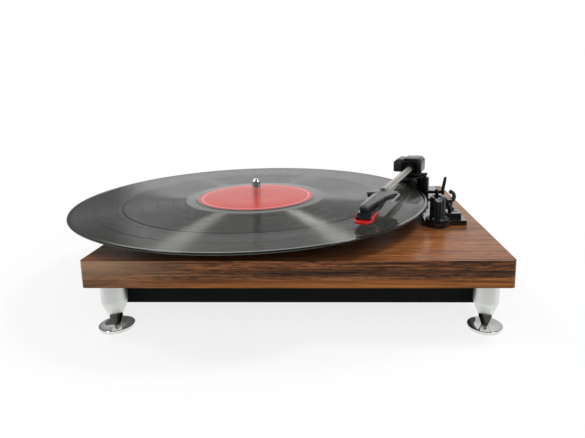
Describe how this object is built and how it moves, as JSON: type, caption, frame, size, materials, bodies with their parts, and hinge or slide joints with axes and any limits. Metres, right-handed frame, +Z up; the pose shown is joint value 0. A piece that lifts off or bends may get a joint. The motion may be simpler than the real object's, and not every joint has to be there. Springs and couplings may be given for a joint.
{
  "type": "record player",
  "caption": "Compact belt-driven record player: wooden plinth on spike feet and pads, spinning disc, and a pivoted straight tonearm with cue lever, rest post and switch.",
  "frame": {"origin": "centre of the whole footprint, disc included, on the surface the pads stand on", "axes": "+X to the right seen from the front, +Y to the back, +Z up along the spindle"},
  "size_m": [0.339, 0.301, 0.0919],
  "materials": {
    "wood": "oiled walnut veneer, satin",
    "black_steel": "fine black powder coat",
    "fastener": "zinc-plated steel",
    "board": "green solder mask",
    "gold": "gold-plated",
    "jack_plastic": "moulded black",
    "foot_metal": "turned, satin collar and polished cone",
    "pad_chrome": "polished",
    "motor_steel": "zinc-plated",
    "steel": "ground and polished",
    "pulley_brass": "turned",
    "rubber": "matt",
    "hub_plastic": "moulded",
    "platter_aluminium": "turned",
    "vinyl": "pressed, grooved",
    "label_paper": "printed paper, plain red",
    "gloss_black": "moulded, polished",
    "black_plastic": "moulded, fine texture",
    "arm_aluminium": "satin anodised",
    "weight_iron": "turned, blackened",
    "shell_grey": "moulded, glossy",
    "red_plastic": "moulded, translucent red"
  },
  "bodies": {
    "player_base": {"plinth": "wood", "chassis_tray": "black_steel", "jack_plate": "black_steel", "tray_screws": "fastener", "mount_screws": "fastener", "board_screws": "fastener", "foot_studs": "fastener", "circuit_board": "board", "phono_jacks": "gold", "power_jack": "jack_plastic", "front_left_foot": "foot_metal", "front_right_foot": "foot_metal", "rear_left_foot": "foot_metal", "rear_right_foot": "foot_metal", "front_left_pad": "pad_chrome", "front_right_pad": "pad_chrome", "rear_left_pad": "pad_chrome", "rear_right_pad": "pad_chrome", "motor_plate": "motor_steel", "motor_can": "motor_steel", "bearing_housing": "motor_steel", "thrust_ball": "steel", "bearing_bush": "pulley_brass", "drive_belt": "rubber", "arm_base_plate": "gloss_black", "speed_bracket": "gloss_black", "switch_panel": "gloss_black", "turret": "black_plastic", "rest_post": "black_plastic", "lifter_guide": "black_plastic", "cue_bracket": "black_plastic"},
    "platter_group": {"spindle": "steel", "drive_hub": "hub_plastic", "platter": "platter_aluminium", "slip_mat": "rubber", "record": "vinyl", "record_label": "label_paper"},
    "motor_rotor": {"motor_shaft": "steel", "motor_pulley": "pulley_brass"},
    "arm_swivel_post": {"swivel_post": "black_plastic", "pivot_pin": "steel"},
    "tonearm": {"pivot_block": "black_plastic", "arm_tube": "arm_aluminium", "counterweight_stub": "steel", "headshell": "shell_grey", "finger_lift": "steel", "cartridge": "shell_grey", "needle_guard": "red_plastic", "needle": "steel"},
    "balance_weight": {"counterweight": "weight_iron"},
    "lifter": {"lifter_rod": "steel", "lifter_bar": "black_plastic"},
    "cue_control": {"cue_shaft": "steel", "cue_lever": "black_plastic"},
    "stop_switch": {"switch_peg": "black_plastic"},
    "speed_control": {"speed_lever": "gloss_black"}
  },
  "joints": [
    {"name": "platter_spin", "type": "hinge", "parent": "player_base", "child": "platter_group", "pos_m": [-0.019, 0, 0.06], "axis": [0, 0, 1], "continuous": true},
    {"name": "motor_spin", "type": "hinge", "parent": "player_base", "child": "motor_rotor", "pos_m": [-0.0719, 0.0597, 0.056], "axis": [0, 0, 1], "continuous": true},
    {"name": "arm_swivel", "type": "hinge", "parent": "player_base", "child": "arm_swivel_post", "pos_m": [0.13116, 0.076, 0.0576], "axis": [0, 0, 1], "range_deg": [-27, 20.47]},
    {"name": "arm_lift", "type": "hinge", "parent": "arm_swivel_post", "child": "tonearm", "pos_m": [0.13116, 0.076, 0.0815], "axis": [-0.9457, 0.3251, 0], "range_deg": [0, 3]},
    {"name": "weight_turn", "type": "hinge", "parent": "tonearm", "child": "balance_weight", "pos_m": [0.13831, 0.09681, 0.0815], "axis": [0.3251, 0.9457, 0], "continuous": true},
    {"name": "lifter_rise", "type": "slide", "parent": "player_base", "child": "lifter", "axis": [0, 0, 1], "range_m": [0, 0.00106]},
    {"name": "cue_lever_turn", "type": "hinge", "parent": "player_base", "child": "cue_control", "pos_m": [0.15586, 0.045, 0.0616], "axis": [1, 0, 0], "range_deg": [0, 40]},
    {"name": "stop_switch_slide", "type": "slide", "parent": "player_base", "child": "stop_switch", "axis": [1, 0, 0], "range_m": [0, 0.005]},
    {"name": "speed_lever_turn", "type": "hinge", "parent": "player_base", "child": "speed_control", "pos_m": [0.15536, 0.0104, 0.0604], "axis": [0, 1, 0], "range_deg": [-12, 12]}
  ],
  "couplings": [
    {"joint": "motor_spin", "follows": "platter_spin", "ratio": 6.875},
    {"joint": "cue_lever_turn", "follows": "arm_lift", "ratio": 13.3},
    {"joint": "lifter_rise", "follows": "arm_lift", "m_per_rad": 0.0196}
  ]
}
